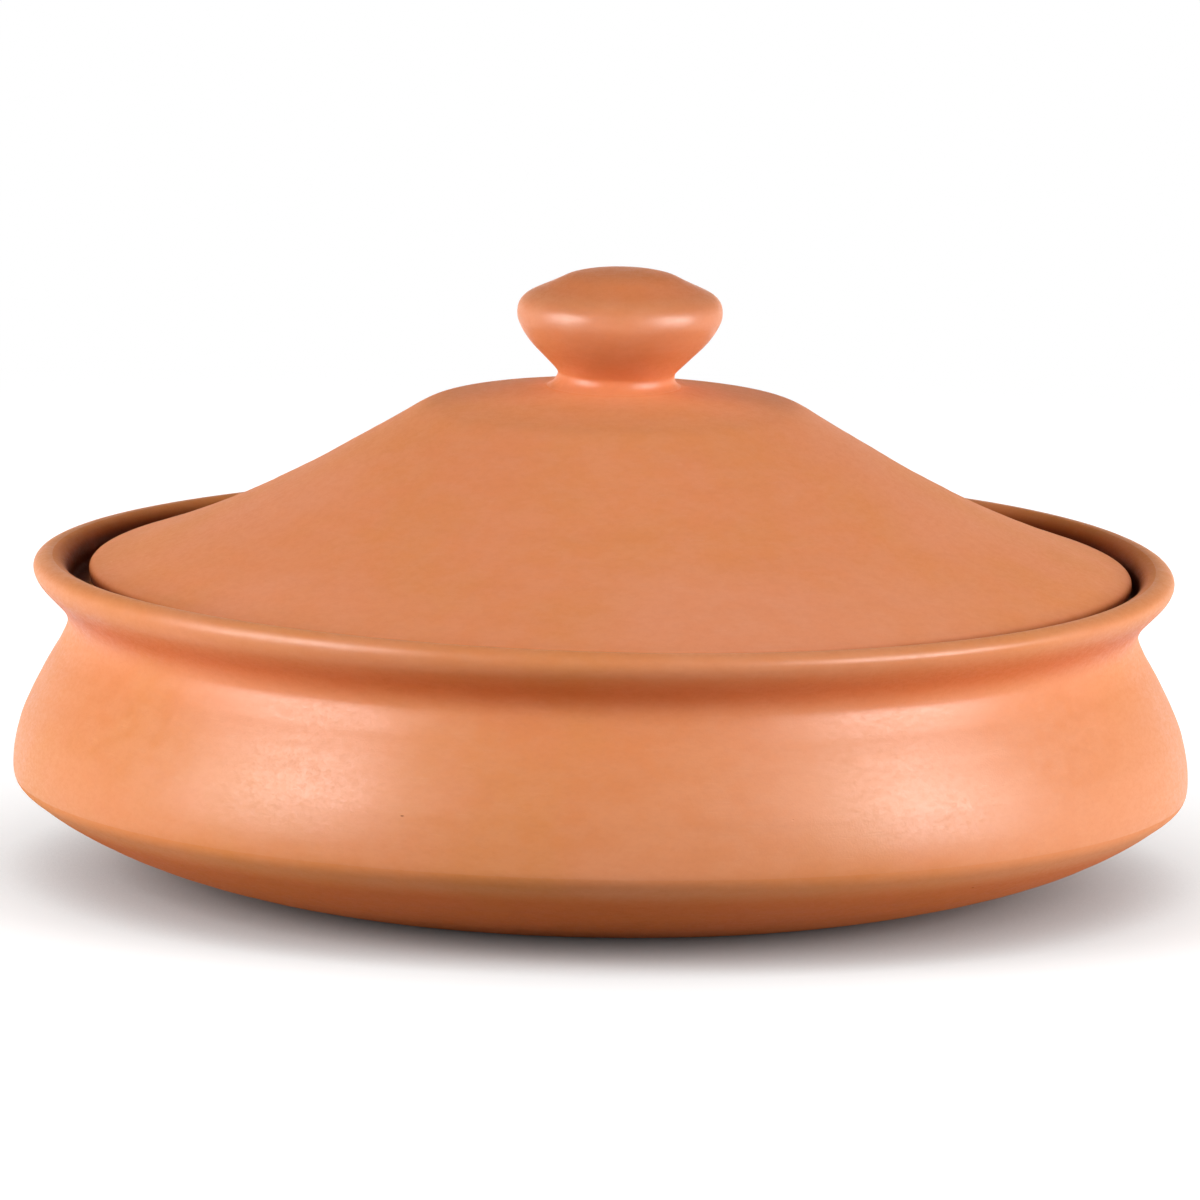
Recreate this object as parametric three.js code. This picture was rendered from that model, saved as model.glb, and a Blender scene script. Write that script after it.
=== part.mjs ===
// A wide, low terracotta cooking pot with a lid that rests in its rim.
// Both pieces are turned shapes, so each is one closed outline revolved about the vertical axis.
// Millimetres, +Z up, with the origin at the middle of the base. Radii are from the axis.

import * as THREE from 'three';

// The pot's outside, from the base up
const BASE_RADIUS = 91; // flat disc that it stands on
const DISH_RISE = 11.5; // degrees, where the shallow dish leaves the table
const TURN_INSET = 4; // where the dish turns up into the belly, in from the belly's widest
const TURN_DROP = 6.8; // and below it
const TURN_RISE = 35; // degrees, of the dish at that turn
const BELLY_RADIUS = 145;
const BELLY_HEIGHT = 26.2;
const NECK_RADIUS = 132;
const NECK_HEIGHT = 61.7;

// The lip, and the ledge inside it that carries the lid
const LEDGE_RISE = 8.9; // above the neck
const LEDGE_WIDTH = 10.5;
const LEDGE_ROUND = 1.8; // on the ledge's inner edge
const RECESS_DEPTH = 7.7; // from the crest of the lip down to the ledge
const RECESS_ROUND = 1.4; // in the corner between ledge and lip
const LIP_THICKNESS = 9.3;
const LIP_ROUND = 3.8; // from the lip's widest in to its crest
const LIP_DROP = 3; // from the crest down to the lip's widest

// The pot's walls
const NECK_WALL = 11;
const BELLY_WALL = 7.5;
const FLOOR_THICKNESS = 8.5;
const FLOOR_RADIUS = 84; // flat part of the floor inside

// The lid, with heights from the ring that it rests on
const LID_PLAY = 2.9; // free space round the lid in its recess
const LID_SEAT_GAP = 0.3; // between the ledge and the lid's ring
const LID_SHIFT = 0.55; // share of its play by which the lid lies off centre, towards +X
const LID_WALL = 6.5;
const EDGE_HEIGHT = 4.1; // of the rolled edge's widest
const EDGE_TOP_INSET = 3.7; // where the roll meets the slope
const EDGE_TOP_HEIGHT = 6.8;
const EDGE_FOOT_INSET = 2.6; // where the roll meets the ring
const SEAT_WIDTH = 2.6;
const SLOPE_AT_EDGE = 18.5; // degrees, the slope flares out a little on its way down
const SLOPE_AT_SHOULDER = 31.5;
const SHOULDER_RADIUS = 46;
const SHOULDER_HEIGHT = 46.65;
const SHOULDER_ROUND = 14;
const CAP_SLOPE = 8.9; // degrees, of the low cap between the shoulder and the knob

// The knob, thrown in one with the lid, with heights from the cap at its foot
const KNOB_RADIUS = 25.5;
const KNOB_HEIGHT = 29.1;
const BRIM_DROP = 10.5; // from the knob's top down to its widest
const CROWN_INSET = 7.4; // where the crown meets the brim, in from the widest
const CROWN_DROP = 3.7;
const CROWN_SLOPE = 25; // degrees
const WAIST_RADIUS = 14.5;
const FOOT_ROUND = 3.4; // fillet from the waist onto the cap

// How long a curve keeps to its direction at its start and at its end, as shares of its stretch
const BASE_TO_TURN = [0.5, 0.25];
const TURN_TO_BELLY = [0.55, 0.35];
const BELLY_TO_NECK = [0.44, 0.14];
const NECK_TO_LIP = [0.35, 0.27];
const INNER_NECK_TO_BELLY = [0.35, 0.3];
const INNER_BELLY_TO_FLOOR = [0.13, 0.5];
const WAIST_TO_BRIM = [0.08, 0.32];
const BRIM_TO_CROWN = [0.43, 0.39];
const CROWN_TO_TOP = [0.31, 0.66];
const ROUND_ARC = [0.37, 0.37]; // close to a round arc

// How finely the curves are cut into flat faces
const SIDES = 72;
const FLATNESS = 0.12; // how far a face may lie off its curve

const OUT = 0;
const UP = 90;
const IN = 180;
const DOWN = -90;

const rad = THREE.MathUtils.degToRad;
const heading = (degrees) => new THREE.Vector2(Math.cos(rad(degrees)), Math.sin(rad(degrees)));
const turnBetween = (a, b) => Math.abs(THREE.MathUtils.euclideanModulo(a - b + 180, 360) - 180);

// An outline in the half plane of radius and height. Directions are degrees from straight out.
class Outline {
  constructor(radius, height) {
    this.points = [new THREE.Vector2(radius, height)];
  }

  line(radius, height) {
    this.points.push(new THREE.Vector2(radius, height));
    return this;
  }

  // A smooth curve to (radius, height), which leaves in one direction and arrives in another.
  sweep(leave, radius, height, arrive, [holdLeave, holdArrive] = ROUND_ARC) {
    const start = this.points.at(-1);
    const end = new THREE.Vector2(radius, height);
    const stretch = start.distanceTo(end);
    const curve = new THREE.CubicBezierCurve(
      start,
      heading(leave).multiplyScalar(stretch * holdLeave).add(start),
      heading(arrive).multiplyScalar(-stretch * holdArrive).add(end),
      end,
    );
    const along = THREE.MathUtils.radToDeg(end.clone().sub(start).angle());
    const turn = rad(turnBetween(leave, along) + turnBetween(along, arrive));
    const steps = Math.ceil(Math.sqrt(stretch * turn / FLATNESS / 8));
    this.points.push(...curve.getPoints(Math.max(2, steps)).slice(1));
    return this;
  }
}

// The outline turned about the axis. It starts at its lowest face on the axis, and runs outwards
// and up the outside before it comes back to the axis.
function turned(outline) {
  return new THREE.LatheGeometry(outline.points, SIDES).rotateX(Math.PI / 2);
}

const boreRadius = NECK_RADIUS - NECK_WALL;
const recessRadius = boreRadius + LEDGE_WIDTH;
const ledgeHeight = NECK_HEIGHT + LEDGE_RISE;
const crestHeight = ledgeHeight + RECESS_DEPTH;

function potOutline() {
  const lipRadius = recessRadius + LIP_THICKNESS;
  const innerBelly = BELLY_RADIUS - BELLY_WALL;
  return new Outline(0, 0)
    .line(BASE_RADIUS, 0)
    .sweep(DISH_RISE, BELLY_RADIUS - TURN_INSET, BELLY_HEIGHT - TURN_DROP, TURN_RISE, BASE_TO_TURN)
    .sweep(TURN_RISE, BELLY_RADIUS, BELLY_HEIGHT, UP, TURN_TO_BELLY)
    .sweep(UP, NECK_RADIUS, NECK_HEIGHT, UP, BELLY_TO_NECK)
    .sweep(UP, lipRadius, crestHeight - LIP_DROP, UP, NECK_TO_LIP)
    .sweep(UP, lipRadius - LIP_ROUND, crestHeight, IN)
    .sweep(IN, recessRadius, ledgeHeight + RECESS_ROUND, DOWN)
    .sweep(DOWN, recessRadius - RECESS_ROUND, ledgeHeight, IN)
    .line(boreRadius + LEDGE_ROUND, ledgeHeight)
    .sweep(IN, boreRadius, ledgeHeight - LEDGE_ROUND, DOWN)
    .sweep(DOWN, innerBelly, BELLY_HEIGHT + LEDGE_ROUND, DOWN, INNER_NECK_TO_BELLY)
    .sweep(DOWN, FLOOR_RADIUS, FLOOR_THICKNESS, IN, INNER_BELLY_TO_FLOOR)
    .line(0, FLOOR_THICKNESS);
}

const lidRadius = recessRadius - LID_PLAY;

// Height of the lid's cap at a radius inside the shoulder
const capHeight = (radius) => SHOULDER_HEIGHT + (SHOULDER_RADIUS - radius) * Math.tan(rad(CAP_SLOPE));

function lidOutline() {
  const footRadius = WAIST_RADIUS + FOOT_ROUND;
  const footHeight = capHeight(footRadius);
  const topHeight = footHeight + KNOB_HEIGHT;

  // The shoulder's arc touches the cap and the slope at equal distances from their corner.
  const corner = new THREE.Vector2(SHOULDER_RADIUS, SHOULDER_HEIGHT);
  const reach = SHOULDER_ROUND * Math.tan(rad((SLOPE_AT_SHOULDER - CAP_SLOPE) / 2));
  const capEnd = heading(180 - CAP_SLOPE).multiplyScalar(reach).add(corner);
  const slopeStart = heading(-SLOPE_AT_SHOULDER).multiplyScalar(reach).add(corner);

  // The underside lies one wall thickness below the cap and the slope.
  const innerCapEnd = heading(-90 - CAP_SLOPE).multiplyScalar(LID_WALL).add(capEnd);
  const innerSlopeStart = heading(-90 - SLOPE_AT_SHOULDER).multiplyScalar(LID_WALL).add(slopeStart);
  const innerTop = innerCapEnd.y + innerCapEnd.x * Math.tan(rad(CAP_SLOPE)) / 2;

  const seatOuter = lidRadius - EDGE_FOOT_INSET;
  return new Outline(0, innerTop)
    .sweep(OUT, innerCapEnd.x, innerCapEnd.y, -CAP_SLOPE)
    .sweep(-CAP_SLOPE, innerSlopeStart.x, innerSlopeStart.y, -SLOPE_AT_SHOULDER)
    .sweep(-SLOPE_AT_SHOULDER, seatOuter - SEAT_WIDTH, 0, -SLOPE_AT_EDGE)
    .line(seatOuter, 0)
    .sweep(OUT, lidRadius, EDGE_HEIGHT, UP)
    .sweep(UP, lidRadius - EDGE_TOP_INSET, EDGE_TOP_HEIGHT, 180 - SLOPE_AT_EDGE)
    .sweep(180 - SLOPE_AT_EDGE, slopeStart.x, slopeStart.y, 180 - SLOPE_AT_SHOULDER)
    .sweep(180 - SLOPE_AT_SHOULDER, capEnd.x, capEnd.y, 180 - CAP_SLOPE)
    .line(footRadius, footHeight)
    .sweep(180 - CAP_SLOPE, WAIST_RADIUS, footHeight + FOOT_ROUND, UP)
    .sweep(UP, KNOB_RADIUS, topHeight - BRIM_DROP, UP, WAIST_TO_BRIM)
    .sweep(UP, KNOB_RADIUS - CROWN_INSET, topHeight - CROWN_DROP, 180 - CROWN_SLOPE, BRIM_TO_CROWN)
    .sweep(180 - CROWN_SLOPE, 0, topHeight, IN, CROWN_TO_TOP);
}

function piece(name, outline, colour, roughness) {
  const clay = new THREE.MeshStandardMaterial({ color: colour, roughness, metalness: 0 });
  const mesh = new THREE.Mesh(turned(outline), clay);
  mesh.name = name;
  return mesh;
}

const vessel = new THREE.Group();

const pot = piece('pot', potOutline(), 0xe18c5e, 0.6);
vessel.add(pot);

const lid = piece('lid', lidOutline(), 0xda885a, 0.65);
lid.position.set(LID_PLAY * LID_SHIFT, 0, ledgeHeight + LID_SEAT_GAP);
vessel.add(lid);

export default vessel;
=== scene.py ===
import math

import bpy
import numpy as np
from mathutils import Matrix, Vector


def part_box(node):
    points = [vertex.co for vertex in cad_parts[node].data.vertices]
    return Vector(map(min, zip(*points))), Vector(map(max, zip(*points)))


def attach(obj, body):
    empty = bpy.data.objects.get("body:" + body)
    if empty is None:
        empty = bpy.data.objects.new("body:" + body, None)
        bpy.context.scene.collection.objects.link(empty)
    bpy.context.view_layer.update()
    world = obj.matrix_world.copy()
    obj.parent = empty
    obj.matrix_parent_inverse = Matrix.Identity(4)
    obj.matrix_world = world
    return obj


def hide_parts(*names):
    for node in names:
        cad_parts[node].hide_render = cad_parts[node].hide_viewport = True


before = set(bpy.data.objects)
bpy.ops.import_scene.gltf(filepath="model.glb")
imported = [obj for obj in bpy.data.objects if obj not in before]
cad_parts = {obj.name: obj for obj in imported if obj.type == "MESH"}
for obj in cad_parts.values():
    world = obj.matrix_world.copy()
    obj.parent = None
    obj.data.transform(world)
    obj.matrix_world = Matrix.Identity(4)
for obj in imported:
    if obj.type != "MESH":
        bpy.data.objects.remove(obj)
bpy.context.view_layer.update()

# A turned terracotta pot with a loose lid. Metres, +Z up, the pot's front towards -Y, and slopes
# and directions in degrees.
MM = 0.001

POT_LOW, POT_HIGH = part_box("pot")
LID_LOW, LID_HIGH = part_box("lid")

# The pot's outside
BELLY_RADIUS = (POT_HIGH[0] - POT_LOW[0]) / 2
CREST_HEIGHT = POT_HIGH[2]
BASE_RADIUS = 91 * MM
DISH_RISE = 11.5
TURN_INSET = 4 * MM
TURN_DROP = 6.8 * MM
TURN_RISE = 35
BELLY_HEIGHT = 26.2 * MM
TURN_HEIGHT = BELLY_HEIGHT - TURN_DROP
NECK_RADIUS = 132 * MM
NECK_HEIGHT = 61.7 * MM

# The lid, which lies off the pot's axis in its recess
LID_RADIUS = (LID_HIGH[1] - LID_LOW[1]) / 2
LID_X = (LID_HIGH[0] + LID_LOW[0]) / 2
LID_PLAY = 2.9 * MM
SEAT_HEIGHT = LID_LOW[2]
SEAT_GAP = 0.3 * MM
KNOB_TOP = LID_HIGH[2]

# The recess and the lip
LEDGE_HEIGHT = SEAT_HEIGHT - SEAT_GAP
LEDGE_WIDTH = 10.5 * MM
LEDGE_ROUND = 1.8 * MM
RECESS_RADIUS = LID_RADIUS + LID_PLAY
RECESS_ROUND = 1.4 * MM
BORE_RADIUS = RECESS_RADIUS - LEDGE_WIDTH
LIP_THICKNESS = 9.3 * MM
LIP_RADIUS = RECESS_RADIUS + LIP_THICKNESS
LIP_ROUND = 3.8 * MM
LIP_DROP = 3 * MM

# The pot's inside
BELLY_WALL = 7.5 * MM
INNER_BELLY_RADIUS = BELLY_RADIUS - BELLY_WALL
FLOOR_HEIGHT = 8.5 * MM
FLOOR_RADIUS = 84 * MM

# The lid's section
LID_WALL = 6.5 * MM
EDGE_HEIGHT = 4.1 * MM
EDGE_TOP_INSET = 3.7 * MM
EDGE_TOP_HEIGHT = 6.8 * MM
EDGE_FOOT_INSET = 2.6 * MM
SEAT_WIDTH = 2.6 * MM
SLOPE_AT_EDGE = 18.5
SLOPE_AT_SHOULDER = 31.5
SHOULDER_RADIUS = 46 * MM
SHOULDER_HEIGHT = SEAT_HEIGHT + 46.65 * MM
SHOULDER_ROUND = 14 * MM
CAP_SLOPE = 8.9

# The knob
KNOB_RADIUS = 25.5 * MM
KNOB_HEIGHT = 29.1 * MM
KNOB_FOOT = KNOB_TOP - KNOB_HEIGHT
BRIM_DROP = 10.5 * MM
CROWN_INSET = 7.4 * MM
CROWN_DROP = 3.7 * MM
CROWN_SLOPE = 25
WAIST_RADIUS = 14.5 * MM
FOOT_ROUND = 3.4 * MM

# How long a curve keeps to its direction at its start and at its end, as shares of its stretch
BASE_TO_TURN = (0.5, 0.25)
TURN_TO_BELLY = (0.55, 0.35)
BELLY_TO_NECK = (0.44, 0.14)
NECK_TO_LIP = (0.35, 0.27)
INNER_NECK_TO_BELLY = (0.35, 0.3)
INNER_BELLY_TO_FLOOR = (0.13, 0.5)
WAIST_TO_BRIM = (0.08, 0.32)
BRIM_TO_CROWN = (0.43, 0.39)
CROWN_TO_TOP = (0.31, 0.66)
ROUND_ARC = (0.37, 0.37)

OUT, UP, IN, DOWN = 0, 90, 180, -90

# How finely the pieces are drawn
SIDES = 300
CURVE_SPACING = 1 * MM
CURVE_STEPS = 8  # at least
LINE_SPACING = 2 * MM
DISC_SPACING = 4 * MM
TOLERANCE = 0.001 * MM

# Rings that the fingers leave inside. They run in a spiral, and are deeper on two opposite sides.
THROWING_PITCH = 7 * MM
THROWING_RELIEF = 0.35 * MM
THROWING_SHARPNESS = 1.5
THROWING_SWING = 0.35  # share by which their depth differs from side to side
THROWING_CHANGE = 9 * MM  # how far along the section that stays alike
THROWING_PHASE = 1  # in radians
NECK_SHARE = 0.5  # of the relief, up in the neck
LID_SHARE = 0.8  # of the relief, under the lid

# Marks of the turning tool outside, coarse and fine, and the wavy base
TURNING_RELIEF = 0.06 * MM
TURNING_WAVES = (5 * MM, 2.2 * MM)
FINE_SHARE = 0.5
BASE_RELIEF = 0.12 * MM
BASE_WAVES = 3 * MM

# Seeds of the random waves
THROWING_SEED = 5
POT_SEEDS = (11, 12)
BASE_SEED = 13
LID_SEEDS = (21, 22)

# Departures from round
RIM_WARP = 0.8 * MM  # high on two opposite sides
TURN_TILT = 0.4 * MM
KNOB_OFFSET = 0.8 * MM
KNOB_LEAN = 0.024  # sideways for each metre up

# Where the finish and the painted shade change: the radius or height, or the two that it changes
# between
NEAR_AXIS = (2 * MM, 10 * MM)
NEAR_TIP = (2 * MM, 8 * MM)
BASE_EDGE = (0, 0.4 * MM)
BASE_RIM = (80 * MM, 90 * MM)
ABOVE_BASE = (0, 3 * MM)
DISH_TOP = (TURN_HEIGHT - 4.5 * MM, TURN_HEIGHT + 0.5 * MM)
BURNISHED_FROM = TURN_HEIGHT + 3.5 * MM
INNER_BELLY = (40 * MM, 60 * MM)
INNER_NECK = (NECK_HEIGHT - 8 * MM, LEDGE_HEIGHT - 2 * MM)
RECESS_CORNER = (BORE_RADIUS + 4 * MM, RECESS_RADIUS - 1 * MM)
RECESS_FLOOR = LEDGE_HEIGHT - 1 * MM
RECESS_WALL = (CREST_HEIGHT - 4 * MM, CREST_HEIGHT - 0.5 * MM)
LID_UNDERSIDE = (LID_RADIUS - 22 * MM, LID_RADIUS - 12 * MM)
LID_EDGE = (LID_RADIUS - 9 * MM, LID_RADIUS - EDGE_FOOT_INSET)
LID_EDGE_WALL = (SEAT_HEIGHT + 3 * MM, SEAT_HEIGHT + EDGE_TOP_HEIGHT - 0.8 * MM)
KNOB_REACH = KNOB_RADIUS + 1 * MM
HANDLED_FROM = KNOB_FOOT + 0.3 * MM
CROWN_EDGE = (KNOB_TOP - CROWN_DROP - 2 * MM, KNOB_TOP - CROWN_DROP)

# Bands of wear, roughness and painted shade: the radius or height at their middle, and their width
BASE_WEAR = (BASE_RADIUS, 1.5 * MM)
NECK_SHADE = (NECK_HEIGHT + 6 * MM, 4.5 * MM)
NECK_HOLLOW = (NECK_HEIGHT + 1 * MM, 6 * MM)
BRIM_WEAR = (KNOB_TOP - BRIM_DROP, 3 * MM)
WAIST_SHADE = (KNOB_FOOT + 7 * MM, 7 * MM)

# How raw the clay is in some places, and how strongly shade is painted into its colour as a darker,
# more saturated tone
DISH_RAW = 0.3
HOLLOW_RAW = 0.04
GAP_PAINTED_SHADE = 0.6
NECK_PAINTED_SHADE = 0.45
DISH_PAINTED_SHADE = 0.32
WAIST_PAINTED_SHADE = 0.15
CROWN_PAINTED_SHADE = 0.12

# Where the departures from round begin and end
WARPED = (LEDGE_HEIGHT + RECESS_ROUND, CREST_HEIGHT)
TILTED_FROM = (98 * MM, 128 * MM)
TILTED_UP_TO = (20 * MM, 44 * MM)
LEAN_STARTS = (-1 * MM, 5 * MM)  # heights above the foot of the knob's waist

# Fired clay
CLAY = (0.765, 0.268, 0.096)
ROSE = (0.780, 0.290, 0.124)
OCHRE = (0.745, 0.266, 0.084)
DARK = (0.440, 0.115, 0.036)
PALE = (0.880, 0.500, 0.310)
RAW = (0.740, 0.285, 0.122)
# Painted shade: the dark colour laid into the gap round the lid, which lies in shade
GAP_SHADE_COLOUR = (0.110, 0.030, 0.012)
POT_TONE = (0.98, 1.0, 1.0)
# Painted light and sheen: the lid's clay is made lighter, and much bluer, than the pot's, standing
# in for light and for the specular reflection that its low level leaves out
LID_TONE_AND_PAINTED_SHEEN = (1.03, 1.04, 1.22)

# A piece's materials, in their order
BURNISHED, BARE, HANDLED = 0, 1, 2

# What they are like: roughness and specular level
POT_BURNISHED = (0.42, 0.38)
LID_BURNISHED = (0.56, 0.08)
LID_HANDLED = (0.42, 0.44)
BARE_CLAY = (0.55, 0.05)
DIFFUSE_ROUGHNESS = 0.5

# Patterns in the clay: how many times as wide as high they are, how many there are to a metre, how
# many finer levels they have, and how strong each level is beside the one before
NOISES = {
    "patches": (1, 11.0, 2.0, 0.5),
    "clouds": (1, 30.0, 4.0, 0.6),
    "mottle": (1.8, 130.0, 4.0, 0.65),
    "smears": (2.2, 450.0, 3.0, 0.6),
    "grain": (1, 1900.0, 2.0, 0.5),
}

# Lines drawn out by the wheel: how often they change round the axis and to a metre of the section,
# and how many finer levels they have
STREAKS = {
    "bands": (1.2, 140.0, 3.0),
    "scratches": (14.0, 1300.0, 2.0),
}
SCRATCHES_IN = (0.55, 0.8)  # the values of that noise where scratches start and are full
SCRATCHED_MOTTLE = (0.42, 0.6)  # and those of the mottle that they keep to

# Spots: how many times as wide as high they are, cells to a metre, their size in cells, and the
# share of all cells that have one
SPOTS = {
    "specks": (1, 330.0, 0.11, 0.05),
    "pits": (2.2, 230.0, 0.13, 0.06),
}
SPOT_CORE = 0.6  # share of a spot's size that is solid
SPOT_CHOICE = 0.01  # how sharply a cell has a spot or none

# Colours laid over the clay: pattern, its values where the layer starts and is full, how much it
# covers there, and its colour
LAYERS = (
    ("clouds", 0.35, 0.65, 1.0, OCHRE),
    ("patches", 0.45, 0.65, 0.8, ROSE),
    ("bands", 0.45, 0.75, 0.04, DARK),
    ("mottle", 0.35, 0.65, 0.07, PALE),
    ("smears", 0.4, 0.7, 0.05, DARK),
    ("grain", 0.45, 0.8, 0.03, DARK),
)

# Colours laid over those: pattern, how much it covers, and its colour
MARKS = (
    ("scratches", 0.06, PALE),
    ("raw", 0.6, RAW),
    ("wear", 1.0, PALE),
    ("specks", 0.5, PALE),
    ("pits", 0.75, DARK),
)

# Wear and the painted shade in the gap follow the clouds: two values of theirs, and how much is
# covered at each
WEAR_IN_CLOUDS = (0.4, 0.7, 0.05, 0.25)
GAP_SHADE_IN_CLOUDS = (0.3, 0.6, 0.7, 0.92)

# What patterns add to the roughness where they are low and where they are high
LOW_TO_HIGH = (0.3, 0.7)
ROUGHNESS_SWINGS = {
    "clouds": (-0.02, 0.03),
    "mottle": (-0.04, 0.04),
    "smears": (-0.05, 0.05),
    "grain": (-0.06, 0.06),
}
ROUGHNESS_OF_MARKS = {"raw": 0.22, "pits": 0.2}

# How far the patterns stand out of the surface, in millimetres
CLAY_RELIEF = {
    "grain": 0.020,
    "smears": 0.014,
    "mottle": 0.018,
    "clouds": 0.05,
    "bands": 0.04,
    "scratches": -0.012,
    "pits": -0.14,
}

# The floor takes the pot's shadow near by, partly from the lamps on its grey paint and partly
# painted, as ambient occlusion dims its white near the pot; further away it is plain white.
FLOOR_HALF = 6  # half its width
FLOOR_GAP = 0.2 * MM  # below the pot
FLOOR_GREY = 0.45  # near by, as it lights the pot from below
FLOOR_WHITE = 0.90  # near by, as it is seen
FLOOR_FADE = (0.3, 0.8)  # distances from the pot's axis that it changes between
SHADOW_REACH = 0.25
SHADOW_SAMPLES = 8

# The room: the light that it gives, and how it looks from its white foot up to its dim ceiling
ROOM_LIGHT = 0.02
ROOM_WHITE = 1.0
CEILING = 0.1
CEILING_FADE = (0.04, 0.25)  # sines of the elevations that it dims between

# Lamps: azimuth from the camera's side to the viewer's right, elevation, distance, width and
# height, level, and the rays that they count for. At level 1 a surface that faces the lamp renders
# as light as its colour is written.
DIFFUSE, GLOSSY = "diffuse", "glossy"
LAMP_AIM = 70 * MM
LAMPS = {
    "softbox_left": (-66, 10, 1.2, 0.8, 0.5, 0.64, (DIFFUSE, GLOSSY)),
    "softbox_right": (66, 10, 1.2, 0.8, 0.5, 0.86, (DIFFUSE, GLOSSY)),
    "softbox_high_left": (-62, 28, 1.2, 0.6, 0.35, 0.44, (DIFFUSE, GLOSSY)),
    "softbox_high_right": (62, 28, 1.2, 0.6, 0.35, 0.24, (DIFFUSE, GLOSSY)),
    "softbox_front": (0, 40, 1.2, 0.9, 0.6, 0.03, (DIFFUSE, GLOSSY)),
    "softbox_back": (178, 9, 1.4, 0.9, 0.4, 0.50, (DIFFUSE,)),
    "gleam_left": (-63, 25, 0.7, 0.42, 0.40, 0.64, (GLOSSY,)),
    "gleam_right": (63, 25, 0.7, 0.42, 0.40, 0.78, (GLOSSY,)),
}

# The photograph's camera: far away, looking a little down, and rolled
PHOTO_PIXELS = 1200
PHOTO_WIDTH = 295.8 * MM  # what the photo takes in, at the pot's distance
CAMERA_DISTANCE = 8.7
CAMERA_ELEVATION = 9.3
CAMERA_ROLL = 1.0
CAMERA_SENSOR = 36  # millimetres, as is the lens
VIEW_DEPTH = 50
AXIS_PIXEL = (603.5, 770.0)  # where the pot's axis crosses the belly's widest


def heading(degrees):
    return np.array([math.cos(math.radians(degrees)), math.sin(math.radians(degrees))])


class Outline:
    """A closed section in the half plane of radius and height, drawn from stretch to stretch."""

    def __init__(self, radius, height):
        self.points = np.array([[radius, height]])

    def line(self, radius, height, spacing=LINE_SPACING):
        start, end = self.points[-1], np.array([radius, height])
        count = max(1, math.ceil(np.linalg.norm(end - start) / spacing))
        share = np.linspace(0, 1, count + 1)[1:, None]
        self.points = np.vstack([self.points, start + (end - start) * share])
        return self

    def sweep(self, leave, radius, height, arrive, holds=ROUND_ARC):
        """A smooth curve that leaves and arrives in the directions given."""
        start, end = self.points[-1], np.array([radius, height])
        stretch = np.linalg.norm(end - start)
        after = start + heading(leave) * stretch * holds[0]
        before = end - heading(arrive) * stretch * holds[1]
        count = max(CURVE_STEPS, math.ceil(stretch / CURVE_SPACING))
        t = np.linspace(0, 1, count + 1)[1:, None]
        s = 1 - t
        curve = s ** 3 * start + 3 * s ** 2 * t * after + 3 * s * t ** 2 * before + t ** 3 * end
        self.points = np.vstack([self.points, curve])
        return self


def pot_outline():
    turn_radius = BELLY_RADIUS - TURN_INSET
    return (
        Outline(0, 0)
        .line(BASE_RADIUS, 0, DISC_SPACING)
        .sweep(DISH_RISE, turn_radius, TURN_HEIGHT, TURN_RISE, BASE_TO_TURN)
        .sweep(TURN_RISE, BELLY_RADIUS, BELLY_HEIGHT, UP, TURN_TO_BELLY)
        .sweep(UP, NECK_RADIUS, NECK_HEIGHT, UP, BELLY_TO_NECK)
        .sweep(UP, LIP_RADIUS, CREST_HEIGHT - LIP_DROP, UP, NECK_TO_LIP)
        .sweep(UP, LIP_RADIUS - LIP_ROUND, CREST_HEIGHT, IN)
        .sweep(IN, RECESS_RADIUS, LEDGE_HEIGHT + RECESS_ROUND, DOWN)
        .sweep(DOWN, RECESS_RADIUS - RECESS_ROUND, LEDGE_HEIGHT, IN)
        .line(BORE_RADIUS + LEDGE_ROUND, LEDGE_HEIGHT)
        .sweep(IN, BORE_RADIUS, LEDGE_HEIGHT - LEDGE_ROUND, DOWN)
        .sweep(DOWN, INNER_BELLY_RADIUS, BELLY_HEIGHT + LEDGE_ROUND, DOWN, INNER_NECK_TO_BELLY)
        .sweep(DOWN, FLOOR_RADIUS, FLOOR_HEIGHT, IN, INNER_BELLY_TO_FLOOR)
        .line(0, FLOOR_HEIGHT, DISC_SPACING)
    )


def cap_height(radius):
    """Height of the lid's cap at a radius inside the shoulder."""
    return SHOULDER_HEIGHT + (SHOULDER_RADIUS - radius) * math.tan(math.radians(CAP_SLOPE))


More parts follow.
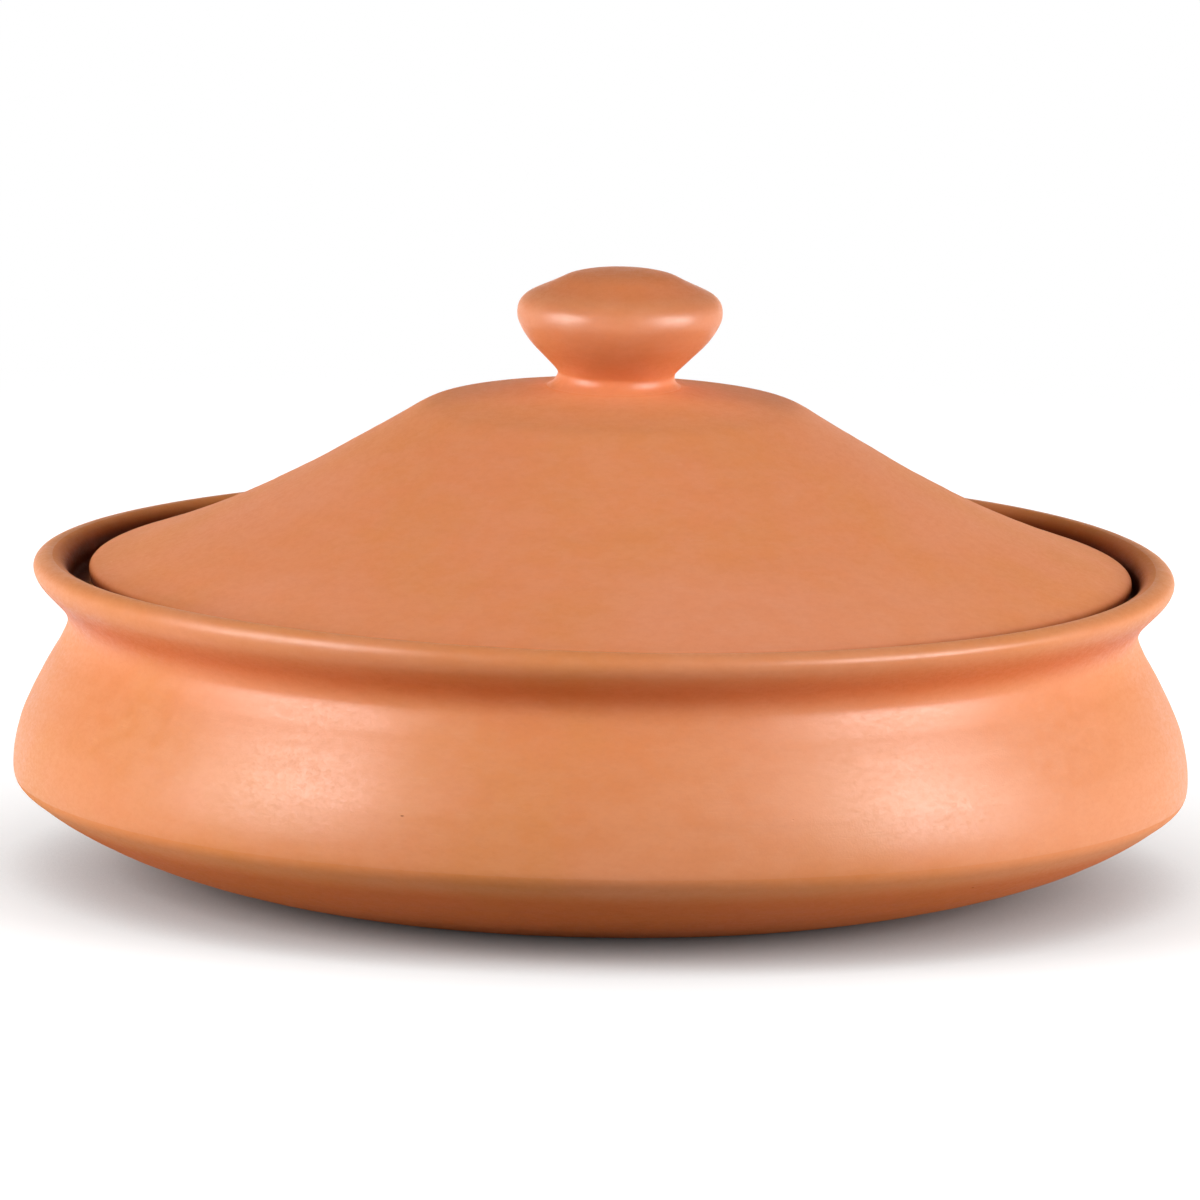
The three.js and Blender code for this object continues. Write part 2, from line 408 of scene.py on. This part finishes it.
def lid_outline():
    foot_radius = WAIST_RADIUS + FOOT_ROUND
    foot_height = cap_height(foot_radius)

    # The shoulder's arc touches the cap and the slope at equal distances from their corner.
    corner = np.array([SHOULDER_RADIUS, SHOULDER_HEIGHT])
    reach = SHOULDER_ROUND * math.tan(math.radians((SLOPE_AT_SHOULDER - CAP_SLOPE) / 2))
    cap_end = corner + heading(IN - CAP_SLOPE) * reach
    slope_start = corner + heading(-SLOPE_AT_SHOULDER) * reach

    # The underside lies one wall thickness below the cap and the slope.
    inner_cap_end = cap_end + heading(DOWN - CAP_SLOPE) * LID_WALL
    inner_slope_start = slope_start + heading(DOWN - SLOPE_AT_SHOULDER) * LID_WALL
    inner_top = inner_cap_end[1] + inner_cap_end[0] * math.tan(math.radians(CAP_SLOPE)) / 2

    seat_outer = LID_RADIUS - EDGE_FOOT_INSET
    edge_top = (LID_RADIUS - EDGE_TOP_INSET, SEAT_HEIGHT + EDGE_TOP_HEIGHT)
    crown_edge = (KNOB_RADIUS - CROWN_INSET, KNOB_TOP - CROWN_DROP)
    return (
        Outline(0, inner_top)
        .sweep(OUT, *inner_cap_end, -CAP_SLOPE)
        .sweep(-CAP_SLOPE, *inner_slope_start, -SLOPE_AT_SHOULDER)
        .sweep(-SLOPE_AT_SHOULDER, seat_outer - SEAT_WIDTH, SEAT_HEIGHT, -SLOPE_AT_EDGE)
        .line(seat_outer, SEAT_HEIGHT)
        .sweep(OUT, LID_RADIUS, SEAT_HEIGHT + EDGE_HEIGHT, UP)
        .sweep(UP, *edge_top, IN - SLOPE_AT_EDGE)
        .sweep(IN - SLOPE_AT_EDGE, *slope_start, IN - SLOPE_AT_SHOULDER)
        .sweep(IN - SLOPE_AT_SHOULDER, *cap_end, IN - CAP_SLOPE)
        .line(foot_radius, foot_height)
        .sweep(IN - CAP_SLOPE, WAIST_RADIUS, foot_height + FOOT_ROUND, UP)
        .sweep(UP, KNOB_RADIUS, KNOB_TOP - BRIM_DROP, UP, WAIST_TO_BRIM)
        .sweep(UP, *crown_edge, IN - CROWN_SLOPE, BRIM_TO_CROWN)
        .sweep(IN - CROWN_SLOPE, 0, KNOB_TOP, IN, CROWN_TO_TOP)
    )


def rise(value, low, high):
    """From 0 below low to 1 above high, smoothly."""
    t = np.clip((value - low) / (high - low), 0, 1)
    return t * t * (3 - 2 * t)


def fall(value, low, high):
    return 1 - rise(value, low, high)


def band(value, middle, width):
    return np.exp(-((value - middle) / width) ** 2)


def waves(values, spacing, seed):
    """Smooth random waves between -1 and 1, with one random height every spacing."""
    steps = values / spacing
    cells = np.floor(steps).astype(int)
    cells -= cells.min()
    heights = np.random.default_rng(seed).uniform(-1, 1, cells.max() + 2)
    share = rise(steps - np.floor(steps), 0, 1)
    return heights[cells] * (1 - share) + heights[cells + 1] * share


def turning_marks(along, seeds):
    """Marks of the turning tool, which only take clay away."""
    coarse, fine = (waves(along, spacing, seed) for spacing, seed in zip(TURNING_WAVES, seeds))
    return TURNING_RELIEF * (coarse + FINE_SHARE * fine - 1 - FINE_SHARE)


def throwing_rings(along, angle, depth):
    """How deep the spiral of the fingers is, for every ring and angle."""
    turns = along[:, None] / THROWING_PITCH * 2 * math.pi + angle
    groove = (0.5 + 0.5 * np.cos(turns)) ** THROWING_SHARPNESS
    change = waves(along, THROWING_CHANGE, THROWING_SEED)[:, None]
    swing = THROWING_SWING * change * np.cos(2 * angle + THROWING_PHASE)
    return depth[:, None] * groove * (1 + swing)


def outward(section):
    """Directions out of the clay, which lies to the left of a section as it is drawn."""
    along_r, along_z = np.gradient(section, axis=0).T
    normals = np.stack([along_z, -along_r], axis=1)
    return normals / np.hypot(*normals.T)[:, None]


def turned_faces(ring_count):
    """Faces between the rings, and then round the first and the last point, on the axis."""
    here = np.arange(SIDES)
    there = (here + 1) % SIDES
    low = np.arange(ring_count - 1)[:, None] * SIDES
    high = low + SIDES
    quads = np.stack([low + here, low + there, high + there, high + here], axis=2)
    first, last = ring_count * SIDES, ring_count * SIDES + 1
    top = (ring_count - 1) * SIDES
    faces = quads.reshape(-1, 4).tolist()
    faces += [(first, (i + 1) % SIDES, i) for i in range(SIDES)]
    faces += [(last, top + i, top + (i + 1) % SIDES) for i in range(SIDES)]
    return faces


def add_attribute(mesh, label, values):
    attribute = mesh.attributes.new(label, "FLOAT", "POINT")
    attribute.data.foreach_set("value", values.astype(np.float32))


def turned(name, outline, finish, shape):
    """The outline turned about the axis. finish(section, along) says what each of its rings is
    like: outside or not, its turning marks (relief) and the depth of its throwing rings (spiral),
    its material (surface), how raw and rubbed it is, and how much shade is painted into its colour:
    the gap's dark colour and a darker, more saturated tone.
    shape(x, y, z, outside) moves the points where the piece isn't round."""
    section = outline.points
    steps = np.diff(section, axis=0)
    along = np.concatenate([[0], np.cumsum(np.hypot(*steps.T))])
    angle = np.arange(SIDES) * 2 * math.pi / SIDES
    ring = finish(section, along)

    def spread(values):
        """One value per ring, for every point: all rings, then the two points on the axis."""
        return np.concatenate([np.repeat(values[1:-1], SIDES), values[[0, -1]]])

    push = ring["relief"][:, None] - throwing_rings(along, angle, ring["spiral"])
    moved = section[:, :, None] + outward(section)[:, :, None] * push[:, None, :]
    radius, height = moved[1:-1, 0], moved[1:-1, 1]
    x = np.concatenate([(radius * np.cos(angle)).ravel(), [0, 0]])
    y = np.concatenate([(radius * np.sin(angle)).ravel(), [0, 0]])
    z = np.concatenate([height.ravel(), section[[0, -1], 1]])
    points = np.stack(shape(x, y, z, spread(ring["outside"])), axis=1)

    mesh = bpy.data.meshes.new(name)
    mesh.from_pydata(points.tolist(), [], turned_faces(len(section) - 2))
    for label in ("raw", "rubbed", "deep", "grime"):
        add_attribute(mesh, label, spread(ring[label]))
    add_attribute(mesh, "along", spread(along))
    surface = np.repeat(np.append(ring["surface"][1:-2], ring["surface"][[0, -1]]), SIDES)
    mesh.polygons.foreach_set("material_index", surface.astype(np.int32))
    mesh.shade_smooth()
    piece = bpy.data.objects.new(name, mesh)
    bpy.context.scene.collection.objects.link(piece)
    return piece


def pot_finish(section, along):
    """The pot's rings, from the base up the outside and down the inside."""
    radius, height = section.T
    outside = (np.arange(len(section)) <= np.argmax(height)).astype(float)
    base = outside * fall(height, *BASE_EDGE)
    dish = outside * fall(height, *DISH_TOP)
    below_ledge = (1 - outside) * fall(height, *INNER_NECK)

    turning = outside * (1 - base) * rise(height, *ABOVE_BASE) * turning_marks(along, POT_SEEDS)
    uneven = 0.5 + 0.5 * waves(along, BASE_WAVES, BASE_SEED)
    relief = turning - base * fall(radius, *BASE_RIM) * BASE_RELIEF * uneven
    depth = 1 - (1 - NECK_SHARE) * rise(height, *INNER_BELLY)
    spiral = below_ledge * THROWING_RELIEF * depth * rise(radius, *NEAR_AXIS)

    # Painted shade: the recess's ledge and wall round the lid are darkened, as the gap lies in
    # shade
    recess = (1 - outside) * rise(radius, *RECESS_CORNER) * (height > RECESS_FLOOR)
    grime = recess * fall(height, *RECESS_WALL)
    # Painted shade: the band under the lip and the dish below the turn are darkened, where they lie
    # in shade
    neck = outside * band(height, *NECK_SHADE)
    hollow = outside * band(height, *NECK_HOLLOW)
    bare = (outside == 0) | (height < BURNISHED_FROM)
    return {
        "outside": outside,
        "relief": relief,
        "spiral": spiral,
        "surface": np.where(bare, BARE, BURNISHED),
        "raw": np.maximum(below_ledge, np.maximum(base, DISH_RAW * dish)) + HOLLOW_RAW * hollow,
        "rubbed": outside * band(radius, *BASE_WEAR),
        "grime": grime,
        "deep": GAP_PAINTED_SHADE * grime + NECK_PAINTED_SHADE * neck + DISH_PAINTED_SHADE * dish,
    }


def pot_shape(x, y, z, outside):
    """The rim is warped, and the turn of the belly is tilted."""
    radius, angle = np.hypot(x, y), np.arctan2(y, x)
    rim = rise(z, *WARPED) * RIM_WARP * np.sin(2 * angle)
    turn = outside * rise(radius, *TILTED_FROM) * fall(z, *TILTED_UP_TO)
    return x, y, z + rim - turn * TURN_TILT * x / BELLY_RADIUS


def lid_finish(section, along):
    """The lid's rings, from the top of its underside out to the edge and up to the knob."""
    radius, height = section.T
    seat_end = np.flatnonzero(height < SEAT_HEIGHT + TOLERANCE)[-1]
    outside = (np.arange(len(section)) >= seat_end).astype(float)
    under = (1 - outside) * fall(radius, *LID_UNDERSIDE)
    knob = (outside == 1) & (radius < KNOB_REACH) & (height > HANDLED_FROM)
    bare = (outside == 0) | (height < SEAT_HEIGHT + EDGE_HEIGHT)

    # Painted shade: the lid's edge, down in the gap, is darkened
    grime = rise(radius, *LID_EDGE) * fall(height, *LID_EDGE_WALL)
    # Painted shade: the knob's waist under the brim is darkened, and its crown toned down
    waist = knob * band(height, *WAIST_SHADE)
    crown = knob * rise(height, *CROWN_EDGE)
    return {
        "outside": outside,
        "relief": outside * rise(radius, *NEAR_TIP) * turning_marks(along, LID_SEEDS),
        "spiral": under * LID_SHARE * THROWING_RELIEF * rise(radius, *NEAR_AXIS),
        "surface": np.where(knob, HANDLED, np.where(bare, BARE, BURNISHED)),
        "raw": 1 - outside,
        "rubbed": outside * band(height, *BRIM_WEAR) * (radius < KNOB_REACH),
        "grime": grime,
        "deep": GAP_PAINTED_SHADE * grime + WAIST_PAINTED_SHADE * waist + CROWN_PAINTED_SHADE * crown,
    }


def lid_shape(x, y, z, outside):
    """The lid lies off the pot's axis, and the knob stands off the lid's axis and leans."""
    above_foot = z - cap_height(WAIST_RADIUS)
    knob = outside * rise(above_foot, *LEAN_STARTS)
    return x + LID_X + knob * (KNOB_OFFSET + KNOB_LEAN * above_foot), y, z


class Graph:
    """A material under construction, with one short call for each kind of node."""

    def __init__(self, name):
        self.material = bpy.data.materials.new(name)
        self.material.use_nodes = True
        self.nodes = self.material.node_tree.nodes
        self.shader = self.nodes["Principled BSDF"]

    def feed(self, socket, value):
        if isinstance(value, bpy.types.NodeSocket):
            self.material.node_tree.links.new(value, socket)
        else:
            socket.default_value = value

    def add(self, kind, inputs, **settings):
        node = self.nodes.new(kind)
        for setting, value in settings.items():
            setattr(node, setting, value)
        for socket, value in inputs.items():
            self.feed(node.inputs[socket], value)
        return node

    def sum(self, a, b):
        return self.add("ShaderNodeMath", {0: a, 1: b}, operation="ADD").outputs[0]

    def times(self, a, b):
        return self.add("ShaderNodeMath", {0: a, 1: b}, operation="MULTIPLY").outputs[0]

    def stretch(self, vector, factors):
        inputs = {0: vector, 1: factors}
        return self.add("ShaderNodeVectorMath", inputs, operation="MULTIPLY").outputs[0]

    def attribute(self, name):
        return self.add("ShaderNodeAttribute", {}, attribute_name=name).outputs["Fac"]

    def noise(self, vector, scale, detail, roughness=0.5):
        inputs = {"Vector": vector, "Scale": scale, "Detail": detail, "Roughness": roughness}
        return self.add("ShaderNodeTexNoise", inputs).outputs["Fac"]

    def ranged(self, value, low, high, to_low=0.0, to_high=1.0):
        inputs = {"Value": value, "From Min": low, "From Max": high}
        inputs.update({"To Min": to_low, "To Max": to_high})
        node = self.add("ShaderNodeMapRange", inputs, interpolation_type="SMOOTHSTEP")
        return node.outputs["Result"]

    def mix(self, share, a, b):
        """The colours a and b, mixed. They are the node's inputs 6 and 7."""
        a, b = ((*c, 1) if isinstance(c, tuple) else c for c in (a, b))
        inputs = {0: share, 6: a, 7: b}
        return self.add("ShaderNodeMix", inputs, data_type="RGBA").outputs[2]

    def spots(self, vector, scale, size, share):
        """Round spots of a size, in cells, in the given share of all cells."""
        cells = self.add("ShaderNodeTexVoronoi", {"Vector": vector, "Scale": scale})
        spot = self.ranged(cells.outputs["Distance"], size * SPOT_CORE, size, 1.0, 0.0)
        chosen = self.ranged(cells.outputs["Color"], 1 - share, 1 - share + SPOT_CHOICE)
        return self.times(spot, chosen)


def clay_patterns(g):
    """Everything that the clay's colour, roughness and relief are made from, by name."""
    place = g.add("ShaderNodeTexCoord", {}).outputs["Object"]
    along = g.add("ShaderNodeCombineXYZ", {"Z": g.attribute("along")}).outputs[0]
    around = g.add("ShaderNodeVectorMath", {0: g.stretch(place, (1, 1, 0))}, operation="NORMALIZE")

    patterns = {name: g.attribute(name) for name in ("raw", "deep")}
    for name, (flatter, scale, detail, roughness) in NOISES.items():
        patterns[name] = g.noise(g.stretch(place, (1, 1, flatter)), scale, detail, roughness)
    for name, (flatter, scale, size, share) in SPOTS.items():
        patterns[name] = g.spots(g.stretch(place, (1, 1, flatter)), scale, size, share)
    for name, (per_turn, per_metre, detail) in STREAKS.items():
        inputs = {
            0: g.stretch(around.outputs[0], (per_turn, per_turn, 0)),
            1: g.stretch(along, (0, 0, per_metre)),
        }
        vector = g.add("ShaderNodeVectorMath", inputs, operation="ADD").outputs[0]
        patterns[name] = g.noise(vector, 1.0, detail)

    scratches = g.ranged(patterns["scratches"], *SCRATCHES_IN)
    patterns["scratches"] = g.times(scratches, g.ranged(patterns["mottle"], *SCRATCHED_MOTTLE))
    wear, grime = (g.ranged(patterns["clouds"], *c) for c in (WEAR_IN_CLOUDS, GAP_SHADE_IN_CLOUDS))
    patterns["wear"] = g.times(g.attribute("rubbed"), wear)
    patterns["grime"] = g.times(g.attribute("grime"), grime)
    return patterns


def clay_colour(g, patterns, tone):
    colour = CLAY
    for name, start, full, share, paint in LAYERS:
        colour = g.mix(g.ranged(patterns[name], start, full, 0.0, share), colour, paint)
    for name, share, paint in MARKS:
        colour = g.mix(g.times(patterns[name], share), colour, paint)
    # Painted shade: a gamma above 1 makes the clay darker and more saturated where shade is painted
    inputs = {0: colour, 1: g.sum(patterns["deep"], 1.0)}
    colour = g.add("ShaderNodeGamma", inputs).outputs[0]
    # Painted shade: the gap's dark colour is laid over the clay
    return g.stretch(g.mix(patterns["grime"], colour, GAP_SHADE_COLOUR), tone)


def clay_roughness(g, patterns, roughness):
    for name, swing in ROUGHNESS_SWINGS.items():
        roughness = g.sum(roughness, g.ranged(patterns[name], *LOW_TO_HIGH, *swing))
    for name, more in ROUGHNESS_OF_MARKS.items():
        roughness = g.sum(roughness, g.times(patterns[name], more))
    return roughness


def clay_normal(g, patterns):
    height = 0.0
    for name, millimetres in CLAY_RELIEF.items():
        height = g.sum(height, g.times(patterns[name], millimetres))
    inputs = {"Height": height, "Distance": 1 * MM, "Strength": 1.0}
    return g.add("ShaderNodeBump", inputs).outputs[0]


def clay(name, finish, tone):
    """Low-fired clay: clouds and mottling, faint turning lines, grain, pits and pale specks."""
    roughness, specular = finish
    g = Graph(name)
    patterns = clay_patterns(g)
    g.feed(g.shader.inputs["Base Color"], clay_colour(g, patterns, tone))
    g.feed(g.shader.inputs["Roughness"], clay_roughness(g, patterns, roughness))
    g.feed(g.shader.inputs["Normal"], clay_normal(g, patterns))
    g.shader.inputs["Diffuse Roughness"].default_value = DIFFUSE_ROUGHNESS
    g.shader.inputs["Specular IOR Level"].default_value = specular
    return g.material


def make_pot():
    pot = turned("pot_clay", pot_outline(), pot_finish, pot_shape)
    pot.data.materials.append(clay("pot_burnished", POT_BURNISHED, POT_TONE))
    pot.data.materials.append(clay("pot_bare", BARE_CLAY, POT_TONE))
    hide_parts("pot")
    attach(pot, "pot")


def make_lid():
    lid = turned("lid_clay", lid_outline(), lid_finish, lid_shape)
    lid.data.materials.append(clay("lid_burnished", LID_BURNISHED, LID_TONE_AND_PAINTED_SHEEN))
    lid.data.materials.append(clay("lid_bare", BARE_CLAY, LID_TONE_AND_PAINTED_SHEEN))
    lid.data.materials.append(clay("lid_handled", LID_HANDLED, LID_TONE_AND_PAINTED_SHEEN))
    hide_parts("lid")
    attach(lid, "lid")


def make_camera():
    camera = bpy.data.objects.new("camera", bpy.data.cameras.new("camera"))
    bpy.context.scene.collection.objects.link(camera)
    elevation = math.radians(CAMERA_ELEVATION)
    per_pixel = PHOTO_WIDTH / PHOTO_PIXELS
    right_of_middle = (AXIS_PIXEL[0] - PHOTO_PIXELS / 2) * per_pixel
    below_middle = (AXIS_PIXEL[1] - PHOTO_PIXELS / 2) * per_pixel
    aim = Vector((-right_of_middle, 0, BELLY_HEIGHT + below_middle / math.cos(elevation)))
    towards_camera = Vector((0, -math.cos(elevation), math.sin(elevation)))
    camera.location = aim + towards_camera * CAMERA_DISTANCE
    turn = towards_camera.to_track_quat("Z", "Y").to_matrix().to_4x4()
    roll = Matrix.Rotation(math.radians(CAMERA_ROLL), 4, "Z")
    camera.matrix_world = Matrix.Translation(camera.location) @ turn @ roll
    camera.data.sensor_width = CAMERA_SENSOR
    camera.data.lens = CAMERA_SENSOR * CAMERA_DISTANCE / PHOTO_WIDTH
    camera.data.clip_end = VIEW_DEPTH
    bpy.context.scene.camera = camera


class Plain(Graph):
    """The node graph of the floor or the world, which have no clay shader."""

    def __init__(self, block, output):
        block.use_nodes = True
        self.material = block
        self.nodes = block.node_tree.nodes
        self.nodes.clear()
        self.output = self.nodes.new(output)

    def seen_rays(self):
        """1 for rays that show the background: to the camera, reflected or through glass."""
        path = self.nodes.new("ShaderNodeLightPath")
        total = path.outputs["Is Camera Ray"]
        for name in ("Is Glossy Ray", "Is Transmission Ray"):
            inputs = {0: total, 1: path.outputs[name]}
            node = self.add("ShaderNodeMath", inputs, operation="ADD", use_clamp=True)
            total = node.outputs[0]
        return total


def floor_paint():
    g = Plain(bpy.data.materials.new("floor_paint"), "ShaderNodeOutputMaterial")
    place = g.add("ShaderNodeTexCoord", {}).outputs["Object"]
    distance = g.add("ShaderNodeVectorMath", {0: place}, operation="LENGTH").outputs["Value"]
    inputs = {"Distance": SHADOW_REACH}
    # Painted shadow: ambient occlusion dims the floor's white near the pot
    ao_painted_shadow = g.add("ShaderNodeAmbientOcclusion", inputs, samples=SHADOW_SAMPLES).outputs["AO"]
    inputs = {0: g.ranged(distance, *FLOOR_FADE), 2: g.times(ao_painted_shadow, FLOOR_WHITE), 3: 1.0}
    shown = g.add("ShaderNodeMix", inputs).outputs[0]
    white = g.add("ShaderNodeEmission", {"Strength": g.times(shown, g.seen_rays())})
    grey = g.ranged(distance, *FLOOR_FADE, FLOOR_GREY, 0.0)
    paint = g.add("ShaderNodeBsdfDiffuse", {"Color": g.mix(grey, (0, 0, 0), (1, 1, 1))})
    both = g.add("ShaderNodeAddShader", {0: paint.outputs[0], 1: white.outputs[0]})
    g.feed(g.output.inputs["Surface"], both.outputs[0])
    return g.material


def make_floor():
    mesh = bpy.data.meshes.new("floor")
    corners = [(x * FLOOR_HALF, y * FLOOR_HALF, 0) for x, y in ((-1, -1), (1, -1), (1, 1), (-1, 1))]
    mesh.from_pydata(corners, [], [(0, 1, 2, 3)])
    floor = bpy.data.objects.new("floor", mesh)
    bpy.context.scene.collection.objects.link(floor)
    floor.location.z = -FLOOR_GAP
    floor.data.materials.append(floor_paint())


def make_lamp(name, azimuth, elevation, distance, width, height, level, rays):
    """An area lamp that faces the pot."""
    lamp = bpy.data.lights.new(name, "AREA")
    lamp.shape = "RECTANGLE"
    lamp.size, lamp.size_y = width, height
    lamp.energy = level * (math.pi * distance) ** 2
    box = bpy.data.objects.new(name, lamp)
    bpy.context.scene.collection.objects.link(box)
    box.visible_camera = False
    box.visible_diffuse = DIFFUSE in rays
    box.visible_glossy = GLOSSY in rays
    a, e = math.radians(azimuth), math.radians(elevation)
    towards = Vector((math.sin(a) * math.cos(e), -math.cos(a) * math.cos(e), math.sin(e)))
    box.location = Vector((0, 0, LAMP_AIM)) + towards * distance
    box.rotation_euler = towards.to_track_quat("Z", "Y").to_euler()


def make_lamps():
    for name, values in LAMPS.items():
        make_lamp(name, *values)


def make_room():
    """A dim room, which rays that show the background see as white at its foot."""
    world = bpy.data.worlds.new("studio")
    bpy.context.scene.world = world
    g = Plain(world, "ShaderNodeOutputWorld")
    room = g.add("ShaderNodeBackground", {"Color": (1, 1, 1, 1), "Strength": ROOM_LIGHT})
    direction = g.add("ShaderNodeTexCoord", {}).outputs["Generated"]
    height = g.add("ShaderNodeSeparateXYZ", {0: direction}).outputs["Z"]
    strength = g.ranged(height, *CEILING_FADE, ROOM_WHITE, CEILING)
    white = g.add("ShaderNodeBackground", {"Color": (1, 1, 1, 1), "Strength": strength})
    both = g.add("ShaderNodeMixShader", {0: g.seen_rays(), 1: room.outputs[0], 2: white.outputs[0]})
    g.feed(g.output.inputs["Surface"], both.outputs[0])


make_camera()
make_pot()
make_lid()
make_floor()
make_lamps()
make_room()
bpy.context.scene.view_settings.view_transform = "Standard"
